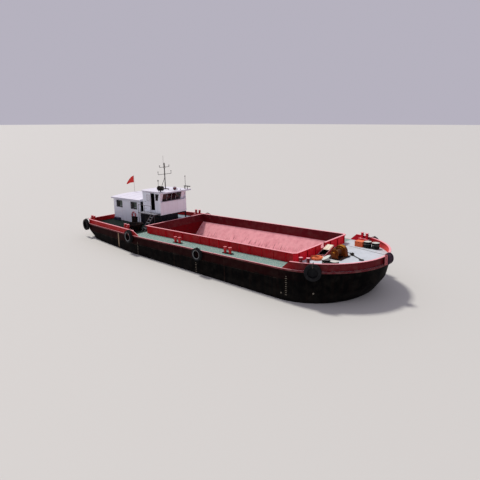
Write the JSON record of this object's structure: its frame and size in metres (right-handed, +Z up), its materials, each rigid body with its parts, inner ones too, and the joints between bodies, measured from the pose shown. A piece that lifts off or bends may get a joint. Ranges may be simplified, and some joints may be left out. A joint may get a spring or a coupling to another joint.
{
  "type": "multipurpose workboat",
  "caption": "Shallow self-propelled river workboat with an open hopper hold, a raised wheelhouse over its engine casing, an aft crew house, bollards, tyre fenders and a bow windlass.",
  "frame": {"origin": "on the flat keel plating, amidships on the centreline", "axes": "+X towards the bow, +Y to port, +Z up"},
  "size_m": [33.3038, 11.1424, 10],
  "materials": {
    "hull_black": "black bottom and topside paint, worn",
    "band_red": "dark red gloss paint, weathered",
    "strake_pink": "faded red paint on the rubbing strake",
    "house_white": "white paint",
    "dark_steel": "dark grey paint",
    "ochre_paint": "ochre paint with grease",
    "tyre_rubber": "old tyre rubber",
    "window_glass": "tinted window glass",
    "galvanised": "galvanised steel",
    "bronze": "cast bronze",
    "ring_orange": "orange-red plastic of the rescue ring and the mooring rope",
    "flag_cloth": "plain red woven cloth"
  },
  "bodies": {
    "hull": {"boarding_landing": "house_white", "bollard_port_aft": "band_red", "bollard_port_fore": "band_red", "bollard_starboard_aft": "band_red", "bollard_starboard_fore": "band_red", "bow_bulwark": "band_red", "deck_tub": "dark_steel", "drum_pair_port": "dark_steel", "drum_pair_starboard": "dark_steel", "engine_casing": "dark_steel", "ensign_flag": "flag_cloth", "ensign_staff": "house_white", "helm_console": "dark_steel", "hold_coaming": "band_red", "house_aft_wall": "house_white", "house_fore_wall": "house_white", "house_glass_port": "window_glass", "house_glass_starboard": "window_glass", "house_port_wall": "house_white", "house_roof": "house_white", "house_starboard_wall": "house_white", "hull_bow_block": "hull_black", "hull_hold_block": "hull_black", "hull_stern_block": "hull_black", "main_engines": "galvanised", "mooring_rope_coil": "ring_orange", "rescue_ring": "ring_orange", "rubbing_strake": "strake_pink", "searchlight": "dark_steel", "signal_mast": "galvanised", "stem_fender": "tyre_rubber", "stern_bulwark": "band_red", "store_hatch_trunk": "band_red", "tyre_port_bow": "tyre_rubber", "tyre_port_quarter": "tyre_rubber", "tyre_port_stern": "tyre_rubber", "tyre_port_waist": "tyre_rubber", "tyre_starboard_bow": "tyre_rubber", "tyre_starboard_quarter": "tyre_rubber", "tyre_starboard_stern": "tyre_rubber", "tyre_starboard_waist": "tyre_rubber", "wheelhouse_aft_wall": "house_white", "wheelhouse_front_wall": "house_white", "wheelhouse_glass_port": "window_glass", "wheelhouse_glass_starboard": "window_glass", "wheelhouse_port_wall": "house_white", "wheelhouse_roof": "house_white", "wheelhouse_starboard_wall": "house_white", "windlass_frame": "ochre_paint", "windscreen": "window_glass"},
    "propeller_starboard": {"propeller_starboard": "bronze"},
    "propeller_port": {"propeller_port": "bronze"},
    "rudder_starboard": {"rudder_starboard": "hull_black"},
    "rudder_port": {"rudder_port": "hull_black"},
    "house_door": {"house_door": "house_white"},
    "wheelhouse_door_starboard": {"wheelhouse_door_starboard": "house_white"},
    "wheelhouse_door_port": {"wheelhouse_door_port": "house_white"},
    "helm_wheel": {"helm_wheel": "ochre_paint"},
    "windlass_drum": {"windlass_drum": "ochre_paint"},
    "store_hatch_lid": {"store_hatch_lid": "house_white"}
  },
  "joints": [
    {"name": "propeller_starboard_spin", "type": "hinge", "parent": "hull", "child": "propeller_starboard", "pos_m": [-13.3, -1.9, 0.6], "axis": [1, 0, 0], "continuous": true},
    {"name": "rudder_starboard_turn", "type": "hinge", "parent": "hull", "child": "rudder_starboard", "pos_m": [-14.25, -1.9, 0.6], "axis": [0, 0, 1], "range_deg": [-35, 35]},
    {"name": "propeller_port_spin", "type": "hinge", "parent": "hull", "child": "propeller_port", "pos_m": [-13.3, 1.9, 0.6], "axis": [1, 0, 0], "continuous": true},
    {"name": "rudder_port_turn", "type": "hinge", "parent": "hull", "child": "rudder_port", "pos_m": [-14.25, 1.9, 0.6], "axis": [0, 0, 1], "range_deg": [-35, 35]},
    {"name": "house_door_swing", "type": "hinge", "parent": "hull", "child": "house_door", "pos_m": [-10.915, 3.177, 3.75], "axis": [0, 0, 1], "range_deg": [0, 110]},
    {"name": "wheelhouse_door_starboard_slide", "type": "slide", "parent": "hull", "child": "wheelhouse_door_starboard", "axis": [1, 0, 0], "range_m": [0, 0.65]},
    {"name": "wheelhouse_door_port_slide", "type": "slide", "parent": "hull", "child": "wheelhouse_door_port", "axis": [1, 0, 0], "range_m": [-0.65, 0]},
    {"name": "helm_wheel_turn", "type": "hinge", "parent": "hull", "child": "helm_wheel", "pos_m": [-8.16, 0.45, 5], "axis": [1, 0, 0], "range_deg": [-540, 540]},
    {"name": "windlass_drum_spin", "type": "hinge", "parent": "hull", "child": "windlass_drum", "pos_m": [12.35, -0.54, 3.2], "axis": [0, 1, 0], "continuous": true},
    {"name": "store_hatch_lid_lift", "type": "hinge", "parent": "hull", "child": "store_hatch_lid", "pos_m": [11.14, 0.452, 3.382], "axis": [-1, 0, 0], "range_deg": [0, 110]}
  ],
  "couplings": [
    {"joint": "rudder_port_turn", "follows": "rudder_starboard_turn", "ratio": 1}
  ]
}
